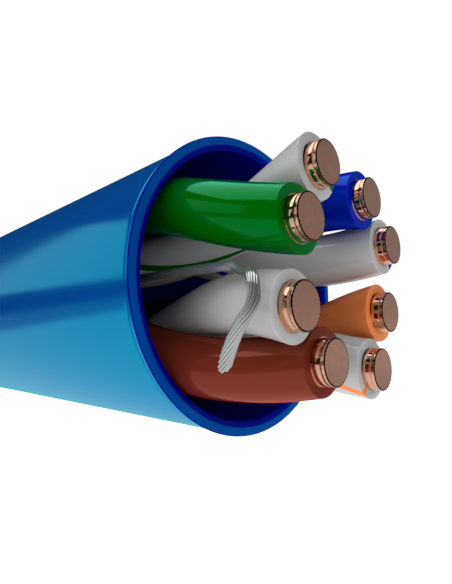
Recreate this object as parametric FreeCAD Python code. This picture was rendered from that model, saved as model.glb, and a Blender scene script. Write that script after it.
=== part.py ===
import FreeCAD, Part
import math
import os

# A short length of four-pair network cable with one end trimmed.
#
# The round jacket runs along X and its mouth is at x = 0, on the cable's axis. Four twisted
# pairs fill the jacket's bore and stand out of the mouth, cut flush, each wire with a short
# bare copper tip. In every pair one wire is coloured and its mate is white, with a stripe of
# the pair's colour that goes right through the white wall. A thin ripcord lies in the valley
# between two pairs, comes out of the mouth and folds over in front of them. At the back the
# cable is cut square through everything.
#
# Millimetres. +X points out of the mouth, +Z is up, and angles about the axis run from +Y to +Z.

# Driving dimensions
CONDUCTOR_RADIUS = 0.395     # solid copper inside the insulation
INSULATION_WALL = 0.165
TIP_STEP = 0.005             # the bare tip is this much thinner all round
TIP_STAND_OUT = 0.23
TIP_ROUNDING = 0.02          # rounded edge of the copper tip
FIT_GAP = 0.004              # between the copper, the wall round it and the stripe in that wall
WIRE_GAP = 0.052             # between the two wires of a pair
PAIR_GAP = 0.023             # between the spaces that two neighbouring pairs sweep
BORE_GAP = 0.037             # between those spaces and the jacket's bore
JACKET_WALL = 0.23
JACKET_LENGTH = 30.0
WIRES_PAST_MOUTH = 2.13      # from the mouth to the cut faces of the insulation
LIP_HEIGHT = 0.05            # the cut edge of the jacket stands this much proud of its outside
LIP_LENGTH = 0.19
LIP_ROUNDING = 0.03
BEVEL_WIDTH = 0.11           # inner bevel of the mouth, across the wall
BEVEL_DEPTH = 0.053          # and along the axis
STRIPE_ANGLE = 14.0          # degrees of the white wire's wall that the stripe takes
RIPCORD_RADIUS = 0.105

# The pairs in order around the axis: colour, the angle at the cut end from the pair's own
# centre to its coloured wire, the length of one full twist, and the angle on the white wire
# from straight away from its mate to the middle of the stripe.
FIRST_PAIR_ANGLE = 38.5
PAIRS = [
    ("blue", 133.6, 12.4, -4.0),
    ("green", -123.2, 11.5, -84.0),
    ("brown", -50.7, 12.0, -100.0),
    ("orange", 62.6, 11.2, -14.0),
]

# The ripcord's middle line: straight in its valley between the green and brown pairs, then
# the tight fold of its free end.
RIPCORD_POINTS = [
    (-JACKET_LENGTH, -1.92, 0.30),
    (0.97, -1.92, 0.28),
    (1.59, -2.04, -0.01),
    (1.97, -2.37, -0.08),
    (2.08, -2.47, -0.49),
    (1.78, -2.61, -0.86),
    (1.46, -2.54, -1.42),
]

# Worked out from the driving dimensions
INSULATION_RADIUS = CONDUCTOR_RADIUS + INSULATION_WALL
TIP_RADIUS = CONDUCTOR_RADIUS - TIP_STEP
WIRE_OFFSET = INSULATION_RADIUS + WIRE_GAP / 2          # a wire's centre from its pair's centre
PAIR_RADIUS = WIRE_OFFSET + INSULATION_RADIUS           # the round space that a pair sweeps
PAIR_OFFSET = (PAIR_RADIUS + PAIR_GAP / 2) * math.sqrt(2.0)
BORE_RADIUS = PAIR_OFFSET + PAIR_RADIUS + BORE_GAP
JACKET_RADIUS = BORE_RADIUS + JACKET_WALL
LIP_RADIUS = JACKET_RADIUS + LIP_HEIGHT
WALL_INSIDE = CONDUCTOR_RADIUS + FIT_GAP
STRIPE_EASE = math.degrees(FIT_GAP / INSULATION_RADIUS)  # taken off each side of a stripe
OVERRUN = 1.0                # wires are swept this much past both cuts, then trimmed


def vector(point):
    return FreeCAD.Vector(*point)


def jacket():
    """The sheath: a tube with a proud rounded lip and an inner bevel at its mouth."""
    back = -JACKET_LENGTH
    turn = LIP_ROUNDING * (1.0 - math.sqrt(0.5))
    corners = [
        (back, BORE_RADIUS),
        (-BEVEL_DEPTH, BORE_RADIUS),
        (0.0, BORE_RADIUS + BEVEL_WIDTH),
        (0.0, LIP_RADIUS - LIP_ROUNDING),
        (-turn, LIP_RADIUS - turn),
        (-LIP_ROUNDING, LIP_RADIUS),
        (LIP_HEIGHT - LIP_LENGTH, LIP_RADIUS),
        (-LIP_LENGTH, JACKET_RADIUS),
        (back, JACKET_RADIUS),
    ]
    points = [FreeCAD.Vector(x, radius, 0.0) for x, radius in corners]
    edges = [Part.makeLine(points[i], points[i + 1]) for i in (0, 1, 2)]
    edges.append(Part.Arc(points[3], points[4], points[5]).toShape())
    edges += [Part.makeLine(points[i], points[i + 1]) for i in (5, 6, 7)]
    edges.append(Part.makeLine(points[8], points[0]))
    profile = Part.Face(Part.Wire(edges))
    return profile.revolve(FreeCAD.Vector(0, 0, 0), FreeCAD.Vector(1, 0, 0), 360.0)


def pair_centre(index):
    """Where a pair's own axis crosses a plane square to the cable, as (y, z)."""
    angle = math.radians(FIRST_PAIR_ANGLE + index * 90.0)
    return PAIR_OFFSET * math.cos(angle), PAIR_OFFSET * math.sin(angle)


def wire_centre(index, angle):
    """The cut end of a wire's centre line, as (y, z)."""
    y, z = pair_centre(index)
    turn = math.radians(angle)
    return y + WIRE_OFFSET * math.cos(turn), z + WIRE_OFFSET * math.sin(turn)


def circle_profile(radius):
    """A round section at the start of a helix, square to it."""
    def build(centre, outwards, sideways, along):
        return Part.Wire([Part.makeCircle(radius, centre, along)])
    return build


def sector_profile(start, end):
    """A part of the insulation's wall, between two angles from straight outwards."""
    def build(centre, outwards, sideways, along):
        def at(radius, angle):
            turn = math.radians(angle)
            return centre + outwards * (radius * math.cos(turn)) + sideways * (radius * math.sin(turn))

        middle = (start + end) / 2
        inner = Part.Arc(*[at(WALL_INSIDE, angle) for angle in (start, middle, end)])
        outer = Part.Arc(*[at(INSULATION_RADIUS, angle) for angle in (end, middle, start)])
        return Part.Wire([
            inner.toShape(),
            Part.makeLine(at(WALL_INSIDE, end), at(INSULATION_RADIUS, end)),
            outer.toShape(),
            Part.makeLine(at(INSULATION_RADIUS, start), at(WALL_INSIDE, start)),
        ])
    return build


def twisted(profile, index, end_angle, lay):
    """A section swept along one wire of a pair and trimmed square at both ends of the cable."""
    start_x = -JACKET_LENGTH - OVERRUN
    length = JACKET_LENGTH + WIRES_PAST_MOUTH + 2 * OVERRUN
    start_angle = end_angle - 360.0 * (length - OVERRUN) / lay
    helix = Part.Wire(Part.makeHelix(lay, length, WIRE_OFFSET).Edges)
    along = FreeCAD.Vector(0.0, 2 * math.pi * WIRE_OFFSET, lay).normalize()
    outwards = FreeCAD.Vector(1.0, 0.0, 0.0)
    centre = outwards * WIRE_OFFSET
    sweep = Part.BRepOffsetAPI.MakePipeShell(helix)
    sweep.setFrenetMode(True)
    sweep.add(profile(centre, outwards, along.cross(outwards), along))
    sweep.build()
    sweep.makeSolid()
    solid = sweep.shape()
    y, z = pair_centre(index)
    # the helix is made along its own Z: this turns Z to the cable's X, X to Y and Y to Z
    to_cable = FreeCAD.Placement(FreeCAD.Matrix(0, 0, 1, start_x, 1, 0, 0, y, 0, 1, 0, z))
    turn = FreeCAD.Placement(FreeCAD.Vector(), FreeCAD.Vector(0, 0, 1), start_angle)
    solid.Placement = to_cable.multiply(turn)
    side = 4 * LIP_RADIUS
    kept = Part.makeBox(
        JACKET_LENGTH + WIRES_PAST_MOUTH, side, side,
        FreeCAD.Vector(-JACKET_LENGTH, -side / 2, -side / 2),
    )
    return solid.common(kept).Solids[0]


def copper_tip(index, end_angle):
    """The bare end of a conductor, straight out of the cut face, with a rounded edge."""
    y, z = wire_centre(index, end_angle)
    base = FreeCAD.Vector(WIRES_PAST_MOUTH, y, z)
    tip = Part.makeCylinder(TIP_RADIUS, TIP_STAND_OUT, base, FreeCAD.Vector(1, 0, 0))
    far_edge = max(tip.Edges, key=lambda edge: edge.CenterOfMass.x)
    return tip.makeFillet(TIP_ROUNDING, [far_edge])


def conductor(index, end_angle, lay):
    core = twisted(circle_profile(CONDUCTOR_RADIUS), index, end_angle, lay)
    return core.fuse(copper_tip(index, end_angle)).Solids[0]


def plain_insulation(index, end_angle, lay):
    outside = twisted(circle_profile(INSULATION_RADIUS), index, end_angle, lay)
    inside = twisted(circle_profile(WALL_INSIDE), index, end_angle, lay)
    return outside.cut(inside).Solids[0]


def white_insulation(index, end_angle, lay, stripe):
    half = STRIPE_ANGLE / 2
    return twisted(sector_profile(stripe + half, stripe + 360.0 - half), index, end_angle, lay)


def stripe_insert(index, end_angle, lay, stripe):
    half = STRIPE_ANGLE / 2 - STRIPE_EASE
    return twisted(sector_profile(stripe - half, stripe + half), index, end_angle, lay)


def ripcord():
    """A round cord along its points: straight runs joined by tangent arcs."""
    points = [vector(point) for point in RIPCORD_POINTS]
    runs = [(end - start).Length for start, end in zip(points, points[1:])]
    edges = []
    start = points[0]
    length = 0.0
    for i in range(1, len(points) - 1):
        corner = points[i]
        back = (points[i - 1] - corner).normalize()
        forward = (points[i + 1] - corner).normalize()
        half_turn = (math.pi - back.getAngle(forward)) / 2
        setback = 0.45 * min(runs[i - 1], runs[i])
        radius = setback / math.tan(half_turn)
        inward = (back + forward).normalize()
        nearest = corner + inward * (radius / math.cos(half_turn) - radius)
        entry = corner + back * setback
        leave = corner + forward * setback
        edges.append(Part.makeLine(start, entry))
        edges.append(Part.Arc(entry, nearest, leave).toShape())
        length += (entry - start).Length + 2 * half_turn * radius
        print("ripcord corner", i, "turn", round(math.degrees(2 * half_turn)), "radius", round(radius, 3))
        start = leave
    edges.append(Part.makeLine(start, points[-1]))
    length += (points[-1] - start).Length
    path = Part.Wire(edges)
    section = Part.Wire([Part.makeCircle(RIPCORD_RADIUS, points[0], points[1] - points[0])])
    solid = path.makePipeShell([section], True, False)
    expected = math.pi * RIPCORD_RADIUS ** 2 * length
    print("ripcord length", round(length, 3), "volume", round(solid.Volume, 4), "of", round(expected, 4))
    return solid


def export(name, shape):
    shape.exportStep(os.path.join("parts", name + ".step"))
    print(name, "valid", shape.isValid(), "volume", round(shape.Volume, 3))


os.makedirs("parts", exist_ok=True)
export("jacket", jacket())
export("ripcord", ripcord())
for pair_index, (colour, colour_angle, twist_lay, stripe_angle) in enumerate(PAIRS):
    white_angle = colour_angle + 180.0
    export("conductor_" + colour, conductor(pair_index, colour_angle, twist_lay))
    export("insulation_" + colour, plain_insulation(pair_index, colour_angle, twist_lay))
    export("conductor_white_" + colour, conductor(pair_index, white_angle, twist_lay))
    export("insulation_white_" + colour, white_insulation(pair_index, white_angle, twist_lay, stripe_angle))
    export("stripe_" + colour, stripe_insert(pair_index, white_angle, twist_lay, stripe_angle))
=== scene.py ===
import math

import bmesh
import bpy
from mathutils import Matrix, Vector


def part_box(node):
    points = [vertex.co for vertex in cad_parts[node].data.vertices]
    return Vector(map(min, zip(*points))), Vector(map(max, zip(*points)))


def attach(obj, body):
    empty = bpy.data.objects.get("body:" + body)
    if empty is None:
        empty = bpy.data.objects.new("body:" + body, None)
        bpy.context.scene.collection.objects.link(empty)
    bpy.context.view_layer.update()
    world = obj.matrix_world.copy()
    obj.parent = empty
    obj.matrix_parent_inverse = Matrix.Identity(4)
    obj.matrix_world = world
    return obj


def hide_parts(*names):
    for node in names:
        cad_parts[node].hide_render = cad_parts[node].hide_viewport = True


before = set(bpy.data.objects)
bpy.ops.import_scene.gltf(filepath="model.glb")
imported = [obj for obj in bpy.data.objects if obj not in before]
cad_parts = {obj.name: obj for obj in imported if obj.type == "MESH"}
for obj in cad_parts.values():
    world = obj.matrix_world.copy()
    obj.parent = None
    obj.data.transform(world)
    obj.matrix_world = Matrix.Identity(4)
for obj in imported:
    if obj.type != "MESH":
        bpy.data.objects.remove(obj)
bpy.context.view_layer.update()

# Looks for a short length of four-pair network cable, trimmed at its +X end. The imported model
# gives every place. The sizes below are in metres: first the part's own sizes, then the finer
# ones that only the looks have.
MM = 0.001

INSULATION_RADIUS = 0.56 * MM
CONDUCTOR_RADIUS = 0.395 * MM
TIP_RADIUS = 0.39 * MM
STRIPE_ANGLE = 14.0
JACKET_WALL = 0.23 * MM
LIP_HEIGHT = 0.05 * MM
LIP_LENGTH = 0.19 * MM
BEVEL_WIDTH = 0.11 * MM
BEVEL_DEPTH = 0.053 * MM

LIP_DIP = 0.006 * MM         # the fine moulded line where the lip meets the outside
LIP_ROUND = 0.02 * MM        # of the lip's edge at the cut
LIP_SWELL = 0.8              # how far the lip's fall bulges: 0 is a plain parabola
LIP_FOOT = 1.4               # where the plain outside starts, in lip lengths
JACKET_SIDES = 256
JACKET_STATIONS = 60
BORE_STATIONS = 40
WIRE_STATIONS = 170
WIRE_SIDES = 64
BAND_SIDES = 8
EDGE = 0.009 * MM            # of every eased edge
INNER_EASE = 0.2             # how much a wall's inner edge opens, as a share of the outer's ease
TIP_FOOT = 0.04              # where a bare tip runs straight, as a share of its length
GROOVE_PLACE = 0.64          # and where its groove is
GROOVE_SIZE = 0.003 * MM
TIP_ROUNDING = 0.012 * MM    # of the tip's edge, along the wire
TIP_SHOULDER = 0.022 * MM    # and across it
BURR = 0.013 * MM            # the teeth that the cut leaves round the face
SHARP_DEGREES = 35.0         # faces that meet at more than this keep a sharp edge

# colour: angle at the cut end from the pair's centre to its coloured wire, twist lay, stripe
PAIRS = {
    "blue": (133.6, 12.4 * MM, -4.0),
    "green": (-123.2, 11.5 * MM, -84.0),
    "brown": (-50.7, 12.0 * MM, -100.0),
    "orange": (62.6, 11.2 * MM, -14.0),
}

# the ripcord's route, in millimetres: straight in its valley, then the fold of its free end
RIPCORD_POINTS = [
    (-30.0, -1.92, 0.30),
    (0.97, -1.92, 0.28),
    (1.59, -2.04, -0.01),
    (1.97, -2.37, -0.08),
    (2.08, -2.47, -0.49),
    (1.78, -2.61, -0.86),
    (1.46, -2.54, -1.42),
]

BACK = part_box("jacket")[0].x
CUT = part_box("insulation_green")[1].x
TIP_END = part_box("conductor_green")[1].x
LIP_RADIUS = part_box("jacket")[1].z
JACKET_RADIUS = LIP_RADIUS - LIP_HEIGHT
BORE_RADIUS = JACKET_RADIUS - JACKET_WALL


# ---------------------------------------------------------------- camera

CAMERA_PLACE = (5.722 * MM, -6.882 * MM, -0.650 * MM)
CAMERA_FORWARD = (-0.6866, 0.7247, 0.0573)
CAMERA_ROLL = 3.46           # degrees
CAMERA_LENS = 26.03


def make_camera():
    """The photograph's viewpoint: close in front of the mouth, a little to one side and below."""
    data = bpy.data.cameras.new("camera")
    data.lens = CAMERA_LENS
    data.clip_start = 0.1 * MM
    data.clip_end = 5.0
    camera = bpy.data.objects.new("camera", data)
    bpy.context.scene.collection.objects.link(camera)
    forward = Vector(CAMERA_FORWARD).normalized()
    roll = math.radians(CAMERA_ROLL)
    right = forward.cross(Vector((0, 0, 1))).normalized()
    up = right.cross(forward)
    turned_up = up * math.cos(roll) + right * math.sin(roll)
    turned_right = forward.cross(turned_up)
    rotation = Matrix((turned_right, turned_up, -forward)).transposed()
    camera.matrix_world = Matrix.Translation(Vector(CAMERA_PLACE)) @ rotation.to_4x4()
    bpy.context.scene.camera = camera


# ---------------------------------------------------------------- mesh helpers

def new_object(name, bm):
    """Turns a bmesh into a smooth-shaded object, sharp only where its faces meet at an angle."""
    bmesh.ops.recalc_face_normals(bm, faces=bm.faces)
    mesh = bpy.data.meshes.new(name)
    bm.to_mesh(mesh)
    bm.free()
    mesh.polygons.foreach_set("use_smooth", [True] * len(mesh.polygons))
    mesh.set_sharp_from_angle(angle=math.radians(SHARP_DEGREES))
    obj = bpy.data.objects.new(name, mesh)
    bpy.context.scene.collection.objects.link(obj)
    return obj


def add_ring(bm, points):
    return [bm.verts.new(point) for point in points]


def bridge(bm, first, second, closed=True, material=0):
    """Quads between two rings of the same number of points."""
    count = len(first)
    for i in range(count if closed else count - 1):
        j = (i + 1) % count
        face = bm.faces.new((first[i], first[j], second[j], second[i]))
        face.material_index = material


def spaced(start, end, count):
    return [start + (end - start) * i / (count - 1) for i in range(count)]


# ---------------------------------------------------------------- wires

class Wire:
    """One wire of a pair: a helix about the pair's own axis."""

    def __init__(self, node, end_angle, lay):
        low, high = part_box(node)
        self.y = (low.y + high.y) / 2
        self.z = (low.z + high.z) / 2
        self.offset = (high.y - low.y + high.z - low.z) / 4 - INSULATION_RADIUS
        self.end_angle = math.radians(end_angle)
        self.rate = 2 * math.pi / lay
        self.slope = self.offset * self.rate
        self.stretch = math.hypot(1.0, self.slope)

    def at(self, x, radius, angle):
        """The point in the plane at x, on a tube of that radius about the wire, at an angle
        round the wire from straight away from its mate."""
        along = x + radius * math.sin(angle) * self.slope / self.stretch
        turn = self.end_angle + (along - CUT) * self.rate
        out = radius * math.cos(angle) + self.offset
        side = radius * math.sin(angle) / self.stretch
        return Vector((
            x,
            self.y + out * math.cos(turn) - side * math.sin(turn),
            self.z + out * math.sin(turn) + side * math.cos(turn),
        ))

    def ring(self, x, radius, angles):
        return [self.at(x, radius, angle) for angle in angles]

    def end_centre(self):
        return self.at(CUT, 0.0, 0.0)


def full_circle(sides):
    return [2 * math.pi * i / sides for i in range(sides)]


def wall_stations():
    """(x, outer radius, inner radius) from the back cut to the front one, with eased edges."""
    outer = INSULATION_RADIUS
    inner = CONDUCTOR_RADIUS
    stations = [(BACK, outer - EDGE, inner)]
    stations += [(x, outer, inner) for x in spaced(BACK + EDGE, CUT - 2 * EDGE, WIRE_STATIONS)]
    stations.append((CUT - EDGE, outer, inner))
    for degrees in (30, 60, 90):
        turn = math.radians(degrees)
        ease = EDGE * (1 - math.cos(turn))
        stations.append((CUT - EDGE * (1 - math.sin(turn)), outer - ease, inner + ease * INNER_EASE))
    return stations


def make_full_wall(name, wire):
    """Insulation all the way round: an outer and an inner tube joined at both cuts."""
    bm = bmesh.new()
    angles = full_circle(WIRE_SIDES)
    stations = wall_stations()
    rings = [add_ring(bm, wire.ring(x, outer, angles)) for x, outer, inner in stations]
    rings += [add_ring(bm, wire.ring(x, inner, angles)) for x, outer, inner in reversed(stations)]
    for i, ring in enumerate(rings):
        bridge(bm, ring, rings[(i + 1) % len(rings)])
    return new_object(name, bm)


def make_sector_wall(name, wire, start, end, sides):
    """A part of the insulation's wall between two angles, as deep as the wall."""
    bm = bmesh.new()
    angles = spaced(math.radians(start), math.radians(end), sides)
    rings = []
    for x, outer, inner in wall_stations():
        points = wire.ring(x, outer, angles) + wire.ring(x, inner, reversed(angles))
        rings.append(add_ring(bm, points))
    for first, second in zip(rings, rings[1:]):
        bridge(bm, first, second)
    for ring in (rings[0], rings[-1]):
        bridge(bm, ring[:sides], list(reversed(ring[sides:])), closed=False)
    return new_object(name, bm)


# a conductor's materials: drawn copper, the cut face, the crushed band next to it, and the
# edge between them with its teeth, painted near black as a line of shade
DRAWN, CUT_FACE, CRUSHED, PAINTED_DARK_EDGE = range(4)

# the groove round a bare tip: (place across it, depth), both as shares of its size
GROOVE = ((-1.6, 0.0), (-0.8, 0.3), (0.0, 1.0), (0.8, 0.3), (1.6, 0.0))


def tip_profile():
    """(distance past the cut, radius, material) along a bare tip, ending in its rounded edge."""
    length = TIP_END - CUT
    groove_at = GROOVE_PLACE * length
    profile = [(0.0, TIP_RADIUS, DRAWN), (TIP_FOOT * length, TIP_RADIUS, DRAWN)]
    for across, depth in GROOVE:
        material = CRUSHED if across > 0 else DRAWN
        profile.append((groove_at + across * GROOVE_SIZE, TIP_RADIUS - depth * GROOVE_SIZE, material))
    profile.append((length - 1.5 * TIP_ROUNDING, TIP_RADIUS, CRUSHED))
    for degrees in range(0, 91, 18):
        turn = math.radians(degrees)
        back = TIP_ROUNDING * (1 - math.sin(turn))
        # the tip's rounded edge takes the painted shade: near-black copper
        material = PAINTED_DARK_EDGE if degrees > 0 else CRUSHED
        profile.append((length - back, TIP_RADIUS - TIP_SHOULDER * (1 - math.cos(turn)), material))
    return profile


def make_conductor(name, wire):
    """Copper: a helical core, then a straight bare tip with a toothed edge round its face."""
    bm = bmesh.new()
    angles = full_circle(WIRE_SIDES)
    last = add_ring(bm, wire.ring(BACK, CONDUCTOR_RADIUS, angles))
    bm.faces.new(last).material_index = CUT_FACE
    for x in spaced(BACK, CUT, WIRE_STATIONS)[1:]:
        ring = add_ring(bm, wire.ring(x, CONDUCTOR_RADIUS, angles))
        bridge(bm, last, ring)
        last = ring
    centre = wire.end_centre()
    around = [Vector((0, math.cos(a + wire.end_angle), math.sin(a + wire.end_angle))) for a in angles]
    along = Vector((1, 0, 0))
    for out, radius, material in tip_profile():
        ring = add_ring(bm, [centre + along * out + direction * radius for direction in around])
        bridge(bm, last, ring, material=material)
        last = ring
    face_radius = TIP_RADIUS - TIP_SHOULDER
    face_centre = centre + along * (TIP_END - CUT)
    ring = add_ring(bm, [
        face_centre + direction * (face_radius - BURR * (i % 2)) for i, direction in enumerate(around)
    ])
    # the teeth take the same painted shade
    bridge(bm, last, ring, material=PAINTED_DARK_EDGE)
    last = ring
    for share in (0.9, 0.5):
        ring = add_ring(bm, [face_centre + direction * (face_radius * share) for direction in around])
        bridge(bm, last, ring, material=CUT_FACE)
        last = ring
    bm.faces.new(last).material_index = CUT_FACE
    return new_object(name, bm)


# ---------------------------------------------------------------- jacket

# the jacket's materials; the inside is the outside's plastic painted darker as shade, and the lip's rounded
# edge takes the same painted shade
OUTSIDE, RIM, PAINTED_SHADE = range(3)


def lip_radius_at(part):
    """The jacket's outside radius at a share of the way down the lip's convex fall."""
    fall = part * part * (1 + LIP_SWELL - LIP_SWELL * part)
    return LIP_RADIUS - LIP_HEIGHT * fall - LIP_DIP * part * part


def make_jacket():
    """A turned tube: outside, proud rounded lip, flat cut rim, inner bevel and bore."""
    bm = bmesh.new()
    profile = [(BACK, BORE_RADIUS, RIM)]
    # the bore and its bevel take the painted shade
    profile += [(x, BORE_RADIUS, PAINTED_SHADE) for x in spaced(BACK, -BEVEL_DEPTH, BORE_STATIONS)[1:]]
    profile += [(0.0, BORE_RADIUS + BEVEL_WIDTH, PAINTED_SHADE)]
    for degrees in (0, 22.5, 45, 67.5, 90):
        turn = math.radians(degrees)
        x = -LIP_ROUND * (1 - math.cos(turn))
        # the lip's rounded edge is painted dark as shade, like the inside
        material = PAINTED_SHADE if degrees > 0 else RIM
        profile.append((x, LIP_RADIUS - LIP_ROUND * (1 - math.sin(turn)), material))
    for part in spaced(0.1, 1.0, 10):
        profile.append((-LIP_ROUND - (LIP_LENGTH - LIP_ROUND) * part, lip_radius_at(part), OUTSIDE))
    profile.append((-LIP_LENGTH - LIP_DIP * 2, JACKET_RADIUS, OUTSIDE))
    stations = spaced(-LIP_LENGTH * LIP_FOOT, BACK + EDGE, JACKET_STATIONS)
    profile += [(x, JACKET_RADIUS, OUTSIDE) for x in stations]
    profile += [(BACK, JACKET_RADIUS - EDGE, RIM)]
    rings = []
    for x, radius, material in profile:
        circle = [(x, radius * math.cos(a), radius * math.sin(a)) for a in full_circle(JACKET_SIDES)]
        rings.append(add_ring(bm, circle))
    # a strip takes the material of the ring where it ends
    for i, ring in enumerate(rings):
        j = (i + 1) % len(rings)
        bridge(bm, ring, rings[j], material=profile[j][2])
    return new_object("jacket_sheath", bm)


# ---------------------------------------------------------------- ripcord

ROUTE_SPACING = 0.02 * MM
STRANDS = 12
STRAND_SIDES = 14
STRAND_SHARE = 0.26          # a filament's radius as a share of the bundle's
STRAND_PITCH = 4.6 * MM
END_RUN = 0.9 * MM           # over which the free end is twisted tighter
END_TWIST = 1.6              # by this much, in radians
CUT_SLANT = 0.13 * MM        # half of what the oblique cut takes off the shortest filament
CUT_TOWARDS = 0.6            # and the side where it takes nothing, in radians
BLUNT_END = 0.05             # the least share of a filament's section at its rounded end
# (share of the route, bundle radius): the filaments lie tight in the cable, spread over the
# fold and splay a little at the cut end
BUNDLE = [(0.0, 0.080 * MM), (0.93, 0.082 * MM), (0.965, 0.098 * MM), (1.0, 0.108 * MM)]


def ripcord_route():
    """The points of the route's own smooth line, leaving out those very close to the last."""
    curve = bpy.data.curves.new("ripcord_route", "CURVE")
    curve.dimensions = "3D"
    curve.resolution_u = 400
    spline = curve.splines.new("NURBS")
    spline.points.add(len(RIPCORD_POINTS) - 1)
    for point, place in zip(spline.points, RIPCORD_POINTS):
        point.co = (place[0] * MM, place[1] * MM, place[2] * MM, 1.0)
    spline.order_u = 3
    spline.use_endpoint_u = True
    holder = bpy.data.objects.new("ripcord_route", curve)
    line = [vertex.co.copy() for vertex in bpy.data.meshes.new_from_object(holder).vertices]
    bpy.data.objects.remove(holder)
    points = [line[0]]
    for point in line[1:-1]:
        if (point - points[-1]).length >= ROUTE_SPACING:
            points.append(point)
    points.append(line[-1])
    return points


def carried_frames(points):
    """Two directions square to the line at each point, which don't roll about it."""
    frames = []
    side = Vector((0, 0, 1))
    for i in range(len(points)):
        along = (points[min(i + 1, len(points) - 1)] - points[max(i - 1, 0)]).normalized()
        side = (side - along * side.dot(along)).normalized()
        frames.append((side, along.cross(side)))
    return frames


def strand_turn(length, total):
    """How far the filaments have turned about the cord's middle line at this length."""
    near_end = max(0.0, (length - total + END_RUN) / END_RUN)
    return 2 * math.pi * length / STRAND_PITCH + END_TWIST * near_end * near_end


def bundle_radius(share):
    for (start, first), (end, second) in zip(BUNDLE, BUNDLE[1:]):
        if share <= end:
            part = (share - start) / (end - start)
            return first + (second - first) * part * part * (3 - 2 * part)
    return BUNDLE[-1][1]


def make_ripcord(route):
    """Twisted filaments, cut off obliquely, each with a rounded end."""
    bm = bmesh.new()
    frames = carried_frames(route)
    lengths = [0.0]
    for start, end in zip(route, route[1:]):
        lengths.append(lengths[-1] + (end - start).length)
    total = lengths[-1]
    for strand in range(STRANDS):
        phase = 2 * math.pi * strand / STRANDS
        end_turn = phase + strand_turn(total, total)
        short = CUT_SLANT * (1 - math.cos(end_turn - CUT_TOWARDS))
        last = total - short
        rings = []
        for (side, up), point, length in zip(frames, route, lengths):
            if length > last:
                break
            bundle = bundle_radius(length / total)
            strand_radius = bundle * STRAND_SHARE
            turn = phase + strand_turn(length, total)
            centre = point + (side * math.cos(turn) + up * math.sin(turn)) * (bundle - strand_radius)
            to_end = (last - length) / strand_radius
            if to_end < 1.0:
                strand_radius *= math.sqrt(max(BLUNT_END, 1 - (1 - to_end) ** 2))
            rings.append(add_ring(bm, [
                centre + (side * math.cos(a) + up * math.sin(a)) * strand_radius
                for a in full_circle(STRAND_SIDES)
            ]))
        for first, second in zip(rings, rings[1:]):
            bridge(bm, first, second)
        bm.faces.new(rings[0])
        bm.faces.new(rings[-1])
    return new_object("ripcord_strands", bm)


# ---------------------------------------------------------------- materials

def new_material(name):
    material = bpy.data.materials.new(name)
    material.use_nodes = True
    nodes = material.node_tree.nodes
    return material, nodes, material.node_tree.links, nodes["Principled BSDF"]


def add_bump(nodes, links, shader, scale, strength, distance, stretch=(1, 1, 1)):
    place = nodes.new("ShaderNodeTexCoord")
    mapping = nodes.new("ShaderNodeMapping")
    mapping.inputs["Scale"].default_value = stretch
    noise = nodes.new("ShaderNodeTexNoise")
    noise.inputs["Scale"].default_value = scale
    noise.inputs["Detail"].default_value = 4.0
    bump = nodes.new("ShaderNodeBump")
    bump.inputs["Strength"].default_value = strength
    bump.inputs["Distance"].default_value = distance
    links.new(place.outputs["Object"], mapping.inputs["Vector"])
    links.new(mapping.outputs["Vector"], noise.inputs["Vector"])
    links.new(noise.outputs["Fac"], bump.inputs["Height"])
    links.new(bump.outputs["Normal"], shader.inputs["Normal"])
    return noise


def vary_colour(nodes, links, shader, noise, colour, change):
    ramp = nodes.new("ShaderNodeValToRGB")
    ramp.color_ramp.elements[0].position = 0.3
    ramp.color_ramp.elements[1].position = 0.7
    ramp.color_ramp.elements[0].color = (*[c * (1 - change) for c in colour], 1)
    ramp.color_ramp.elements[1].color = (*[min(1, c * (1 + change)) for c in colour], 1)
    links.new(noise.outputs["Fac"], ramp.inputs["Fac"])
    links.new(ramp.outputs["Color"], shader.inputs["Base Color"])


# faint lines along the cable: how fine, how strong, how deep, and their stretch
DRAWN_LINES = (2500, 0.04, 0.01 * MM, (0.04, 1, 1))
COPPER_BUMP = 0.004 * MM
# how much a colour varies over its surface
PLASTIC_SHADES = 0.05
COPPER_SHADES = 0.06


def plastic(name, colour, tint, skin, ior=1.6, roughness=0.1, metallic=0.0):
    """Glossy drawn plastic, with a reflection in its own tint."""
    material, nodes, links, shader = new_material(name)
    noise = add_bump(nodes, links, shader, *DRAWN_LINES)
    vary_colour(nodes, links, shader, noise, colour, PLASTIC_SHADES)
    shader.inputs["Metallic"].default_value = metallic
    shader.inputs["Roughness"].default_value = roughness
    shader.inputs["IOR"].default_value = ior
    shader.inputs["Specular Tint"].default_value = (*tint, 1)
    # a clear skin without a reflection of its own, which tints what comes from below it
    shader.inputs["Coat Weight"].default_value = 1.0
    shader.inputs["Coat IOR"].default_value = 1.0
    shader.inputs["Coat Roughness"].default_value = roughness
    shader.inputs["Coat Tint"].default_value = (*skin, 1)
    return material


def copper(name, colour, roughness, bump, scale):
    material, nodes, links, shader = new_material(name)
    noise = add_bump(nodes, links, shader, scale, bump, COPPER_BUMP)
    vary_colour(nodes, links, shader, noise, colour, COPPER_SHADES)
    shader.inputs["Metallic"].default_value = 1.0
    shader.inputs["Roughness"].default_value = roughness
    return material


# ---------------------------------------------------------------- build

make_camera()

route = ripcord_route()
ripcord = make_ripcord(route)
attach(ripcord, "ripcord")
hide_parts("ripcord")

jacket = make_jacket()
for material in (
    plastic(
        "sheath_outside", (0.0, 0.065, 0.35), (0.0, 0.93, 1.0), (0.93, 1.0, 1.0),
        ior=3.3, roughness=0.17,
    ),
    plastic("sheath_cut", (0.0, 0.07, 0.36), (0.0, 0.5, 1.0), (0.3, 0.9, 1.0), roughness=0.35),
    # painted shade: the outside's blue plastic made darker for the bore, the bevel and the lip's edge
    plastic("sheath_painted_shade", (0.0, 0.0, 0.26), (0.0, 0.2, 1.0), (0.3, 0.5, 1.0), ior=1.5, roughness=0.3),
):
    jacket.data.materials.append(material)
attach(jacket, "jacket")
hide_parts("jacket")

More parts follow.
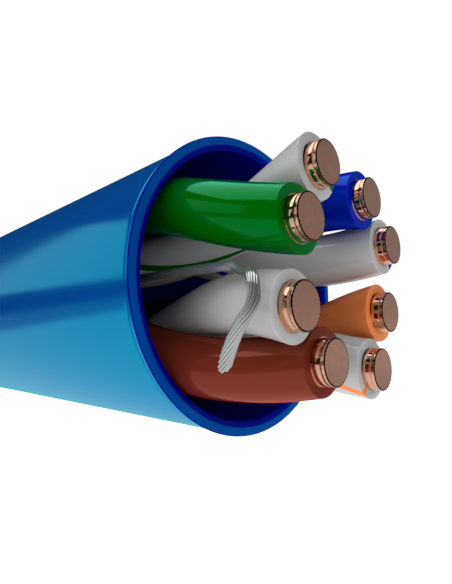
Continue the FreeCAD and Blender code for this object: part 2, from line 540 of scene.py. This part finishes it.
# wire colours: base, tint of its reflections, tint of its clear skin
COLOURS = {
    "blue": ((0.0, 0.022, 0.46), (0.2, 0.5, 1.0), (0.5, 0.7, 1.0)),
    "green": ((0.0, 0.12, 0.0), (0.0, 1.0, 0.3), (0.6, 1.0, 0.95)),
    "brown": ((0.17, 0.033, 0.018), (1.0, 0.45, 0.35), (1.0, 0.8, 0.75)),
    "orange": ((1.0, 0.30, 0.085), (1.0, 0.8, 0.6), (1.0, 0.95, 0.9)),
}
CLEAR = (1.0, 1.0, 1.0)
white_plastic = plastic("white_plastic", (0.54, 0.54, 0.54), CLEAR, CLEAR)
COPPERS = [                  # in the order of a conductor's materials
    copper("copper_polished", (0.78, 0.44, 0.30), 0.03, 0.04, 9000),
    copper("copper_cut", (0.66, 0.36, 0.26), 0.28, 0.3, 9000),
    copper("copper_crushed", (0.80, 0.47, 0.33), 0.05, 1.0, 30000),
    # painted shade: near-black copper for the dark line round the cut face
    copper("copper_painted_dark_edge", (0.07, 0.03, 0.02), 0.2, 0.5, 30000),
]
ripcord.data.materials.append(
    plastic("ripcord_fibre", (0.50, 0.53, 0.51), CLEAR, CLEAR, roughness=0.14, metallic=0.8)
)

for colour, (angle, lay, stripe) in PAIRS.items():
    body = "pair_" + colour
    coloured = plastic(colour + "_plastic", *COLOURS[colour])
    wire = Wire("insulation_" + colour, angle, lay)
    mate = Wire("insulation_white_" + colour, angle + 180.0, lay)
    half = STRIPE_ANGLE / 2
    pieces = [
        (make_full_wall("wall_" + colour, wire), "insulation_" + colour, [coloured], colour + "_plastic"),
        (make_sector_wall("wall_white_" + colour, mate, stripe + half, stripe + 360 - half, WIRE_SIDES),
         "insulation_white_" + colour, [white_plastic], "white_plastic"),
        (make_sector_wall("band_" + colour, mate, stripe - half, stripe + half, BAND_SIDES),
         "stripe_" + colour, [coloured], colour + "_plastic"),
        (make_conductor("copper_" + colour, wire), "conductor_" + colour, COPPERS, "bare_copper"),
        (make_conductor("copper_white_" + colour, mate), "conductor_white_" + colour, COPPERS, "bare_copper"),
    ]
    for piece, node, materials, slot in pieces:
        for material in materials:
            piece.data.materials.append(material)
        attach(piece, body)
        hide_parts(node)


# ---------------------------------------------------------------- studio

FLOOR_DROP = 60 * MM
FLOOR_SIZE = 4.0
FLOOR_GLOW = 0.06            # light that it gives the object; the camera sees a full white
FLOOR_SHADE = 0.9
FLOOR_IN_REFLECTIONS = 0.3   # its shade where something glossy mirrors it


def make_floor():
    """A plain white light table, well below the cable end."""
    bpy.ops.mesh.primitive_plane_add(size=FLOOR_SIZE, location=(0, 0, -FLOOR_DROP))
    floor = bpy.context.object
    floor.name = "floor"
    material, nodes, links, shader = new_material("floor_pale")
    shader.inputs["Roughness"].default_value = 0.9
    shader.inputs["Emission Color"].default_value = (1, 1, 1, 1)
    path = nodes.new("ShaderNodeLightPath")
    strength = nodes.new("ShaderNodeMapRange")
    strength.inputs["To Min"].default_value = FLOOR_GLOW
    strength.inputs["To Max"].default_value = 1.0
    shade = nodes.new("ShaderNodeMapRange")
    shade.inputs["To Min"].default_value = FLOOR_SHADE
    shade.inputs["To Max"].default_value = FLOOR_IN_REFLECTIONS
    links.new(path.outputs["Is Glossy Ray"], shade.inputs["Value"])
    links.new(shade.outputs["Result"], shader.inputs["Base Color"])
    links.new(path.outputs["Is Camera Ray"], strength.inputs["Value"])
    links.new(strength.outputs["Result"], shader.inputs["Emission Strength"])
    floor.data.materials.append(material)


def softbox(name, azimuth, elevation, distance, size, radiance):
    """A soft light aimed at the mouth; azimuth runs from +Y towards +X."""
    data = bpy.data.lights.new(name, "AREA")
    data.shape = "RECTANGLE"
    data.size = size[0] * MM
    data.size_y = size[1] * MM
    # an area light's power for a given radiance is pi times its area
    data.energy = radiance * math.pi * data.size * data.size_y
    light = bpy.data.objects.new(name, data)
    bpy.context.scene.collection.objects.link(light)
    turn = math.radians(azimuth)
    rise = math.radians(elevation)
    towards = Vector((math.sin(turn) * math.cos(rise), math.cos(turn) * math.cos(rise), math.sin(rise)))
    light.location = towards * distance * MM
    light.rotation_euler = towards.to_track_quat("Z", "Y").to_euler()
    light.visible_camera = False
    return light


def make_world(backdrop, fill, dark):
    """Pure white behind the object, an even fill light, and a dim room in the reflections."""
    world = bpy.data.worlds.new("studio")
    bpy.context.scene.world = world
    world.use_nodes = True
    nodes = world.node_tree.nodes
    links = world.node_tree.links
    background = nodes["Background"]
    background.inputs["Color"].default_value = (1, 1, 1, 1)
    path = nodes.new("ShaderNodeLightPath")
    inner = nodes.new("ShaderNodeMapRange")
    inner.inputs["To Min"].default_value = fill
    inner.inputs["To Max"].default_value = dark
    outer = nodes.new("ShaderNodeMapRange")
    outer.inputs["To Max"].default_value = backdrop
    links.new(path.outputs["Is Glossy Ray"], inner.inputs["Value"])
    links.new(inner.outputs["Result"], outer.inputs["To Min"])
    links.new(path.outputs["Is Camera Ray"], outer.inputs["Value"])
    links.new(outer.outputs["Result"], background.inputs["Strength"])


make_floor()
make_world(backdrop=1.02, fill=0.56, dark=0.02)
softbox("side_softbox", azimuth=-132, elevation=21, distance=150, size=(166, 72), radiance=0.65)
softbox("top_softbox", azimuth=-110, elevation=80, distance=150, size=(200, 160), radiance=1.8)
low = softbox("low_softbox", azimuth=-135, elevation=-15, distance=200, size=(420, 640), radiance=0.5)
low.rotation_euler = (math.pi, 0, 0)    # it lies flat and shines straight up
softbox("front_softbox", azimuth=33, elevation=8, distance=150, size=(120, 100), radiance=0.3)
fill = softbox("fill_softbox", azimuth=125, elevation=-20, distance=150, size=(200, 200), radiance=0.28)
fill.visible_glossy = False             # it lights the wires without a reflection of its own
bpy.context.scene.view_settings.view_transform = "Standard"
bpy.context.scene.cycles.caustics_reflective = False
